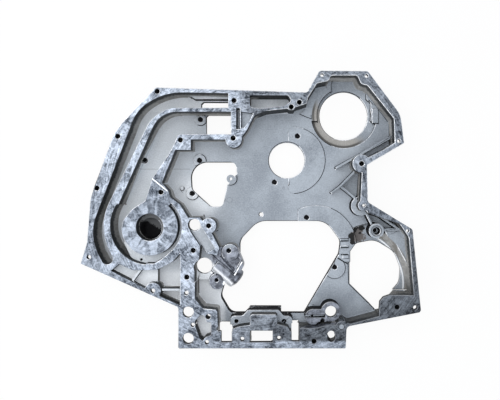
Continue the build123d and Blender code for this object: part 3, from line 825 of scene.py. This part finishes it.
# The grey of the ledge in its upper right part is painted light.
ledge_light = (towards_upper_right + (floor_mottle - 0.5) * 16).rise(-3, 1) * in_bore
deep = dark.mix(floor_mottle, (0.004, 0.004, 0.005), (0.02, 0.02, 0.022))
dark.look(
    base_color=dark.mix(ledge_light, deep, LEDGE_GREY),
    roughness=0.8 + 0.2 * floor_mottle,
)
dark.set(dark.shader.inputs["Specular IOR Level"], 0.15)
print("nodes of the hole floors:", len(dark.tree.nodes))

# %% [markdown]
# ## Edges with a painted highlight, and the bright gallery
#
# The bevels that face the light have a bright metal of their own, a painted highlight, and
# painted shade makes it darker at the lower right. The slanted oil gallery at the lower left
# came out of a smooth iron core, and its skin shines more than the sand-cast web does; a
# painted highlight runs along its flank.

# %% The edges
EDGE_SHADE_GREY = (0.2, 0.21, 0.23)
edge_highlight = finish(HIGHLIGHT_EDGE)
edge_mottle = edge_highlight.noise(6, detail=4).rise(0.35, 0.65)
# Towards the lower right the edges darken, a painted shade.
edge_lower_right_shade = (edge_highlight.axis("X") * 0.25 - edge_highlight.axis("Y")).rise(300, 370)
edge_lit_tone = edge_highlight.mix(edge_mottle, (0.5, 0.53, 0.57), (0.97, 0.98, 1.0))
edge_highlight.look(
    base_color=edge_highlight.mix(edge_lower_right_shade, edge_lit_tone, EDGE_SHADE_GREY),
    metallic=0.8,
    roughness=0.38 - 0.1 * edge_mottle,
)
print("nodes of the edges:", len(edge_highlight.tree.nodes))

# %% The gallery
GALLERY_AXIS = (-158, -233)
FOOT_BOSS = (-159, -272)
FLANK = (4, 14, 27, 29)
FLANK_HIGHLIGHT = (0.95, 0.97, 1.0)
gallery = finish(BRIGHT)
east, north = (gallery.axis(name) for name in "XY")
swirl = gallery.noise(14, detail=5, warp=1.0).rise(0.35, 0.65)
dust = gallery.noise(1.5, detail=3, rough=0.7)
across = (east - GALLERY_AXIS[0]) * -0.66 - (north - GALLERY_AXIS[1]) * 0.75
off_foot = gallery.distance(FOOT_BOSS).rise(15, 17)
# A band along the gallery's lower left flank is a painted highlight.
flank_highlight = across.band(*FLANK) * off_foot
dull = gallery.mix(swirl, (0.085, 0.092, 0.11), (0.31, 0.335, 0.39))
gallery.look(
    base_color=gallery.mix(flank_highlight, dull, FLANK_HIGHLIGHT),
    metallic=0.75,
    roughness=0.34 + 0.16 * dust,
    normal=gallery.bump(dust * 0.5 + swirl * 0.5, 0.3, 0.5),
)
print("nodes of the gallery:", len(gallery.tree.nodes))

# %% [markdown]
# ## The table, the light and the camera
#
# The cover lies on a plain white table. The camera and the metal see the table nearly at
# full white, so a share of its material glows for their rays alone. The rest of it is a
# matte surface that still takes the shadow.

# %% The table
TABLE_SIZE = 9.0
GLOW_SHARE = 0.93
bpy.ops.mesh.primitive_plane_add(size=TABLE_SIZE, location=(0, 0, 0))
table = bpy.context.object
table.name = "table"
table.data.materials.append(bpy.data.materials.new("white table"))
white = Finish(table.data.materials[0])
white.look(base_color=(0.9, 0.9, 0.9), roughness=0.8)
rays = white.node("ShaderNodeLightPath")
seen = Amount(white, rays.outputs["Is Camera Ray"])
mirrored = Amount(white, rays.outputs["Is Glossy Ray"]) + Amount(white, rays.outputs["Is Transmission Ray"])
share = (seen + mirrored).math("MINIMUM", seen + mirrored, 1.0) * GLOW_SHARE
glow = white.node("ShaderNodeEmission", None, {0: (1, 1, 1), 1: 1.0})
blend = white.node("ShaderNodeMixShader", None, {0: share, 1: white.shader.outputs[0], 2: glow.outputs[0]})
white.join(blend.outputs[0], white.output.inputs[0])
print("the table is", TABLE_SIZE, "m wide")

# %% [markdown]
# The light is soft. The first lamp stands at the upper left and gives the walls their lit
# sides, a large one overhead evens out the web, and a weak one at the lower left reaches the
# feet of the walls that the first one leaves dark.


# %% The lamps
LAMP_AIM = Vector((-0.08, -0.11, 0.0))


def softbox(name, place, size, power):
    """A square lamp that faces a point of the casting; all in metres and watts."""
    lamp = bpy.data.lights.new(name, "AREA")
    lamp.size = size
    lamp.energy = power
    holder = bpy.data.objects.new(name, lamp)
    bpy.context.scene.collection.objects.link(holder)
    holder.location = place
    holder.rotation_euler = (holder.location - LAMP_AIM).to_track_quat("Z", "Y").to_euler()
    print(name, "of", power, "W")


softbox("left softbox", (-1.7, 0.9, 1.5), 0.9, 11)
softbox("overhead softbox", (-0.5, 0.15, 2.4), 2.2, 18)
softbox("lower softbox", (-1.3, -1.5, 1.1), 0.7, 5)

# %% The air of the studio
AIR_COLOUR = (0.92, 0.95, 1.0, 1)
AIR_STRENGTH = 0.75
world = bpy.data.worlds.new("studio")
bpy.context.scene.world = world
world.use_nodes = True
air = world.node_tree.nodes["Background"]
air.inputs[0].default_value = AIR_COLOUR
air.inputs[1].default_value = AIR_STRENGTH
bpy.context.scene.view_settings.view_transform = "Standard"
print("strength of the air's light:", AIR_STRENGTH)

# %% [markdown]
# The camera hangs straight over the cover and looks down. It is close, about a metre off,
# so the walls of the outer flange show. It is shifted a little, because the point right
# under it is not in the middle of the frame.

# %% The camera
FRAME_WIDTH = 500
FOCAL_PIXELS = 431.8
SHIFT_PIXELS = (-30, -5)
CAMERA_PLACE = (-15.7 * MM, -80.2 * MM, 1010 * MM)
camera_data = bpy.data.cameras.new("camera")
camera_data.sensor_width = 36
camera_data.lens = FOCAL_PIXELS / FRAME_WIDTH * camera_data.sensor_width
camera_data.shift_x = SHIFT_PIXELS[0] / FRAME_WIDTH
camera_data.shift_y = SHIFT_PIXELS[1] / FRAME_WIDTH
camera = bpy.data.objects.new("camera", camera_data)
bpy.context.scene.collection.objects.link(camera)
camera.location = CAMERA_PLACE
bpy.context.scene.camera = camera
print("the lens, in millimetres:", round(camera_data.lens, 2))
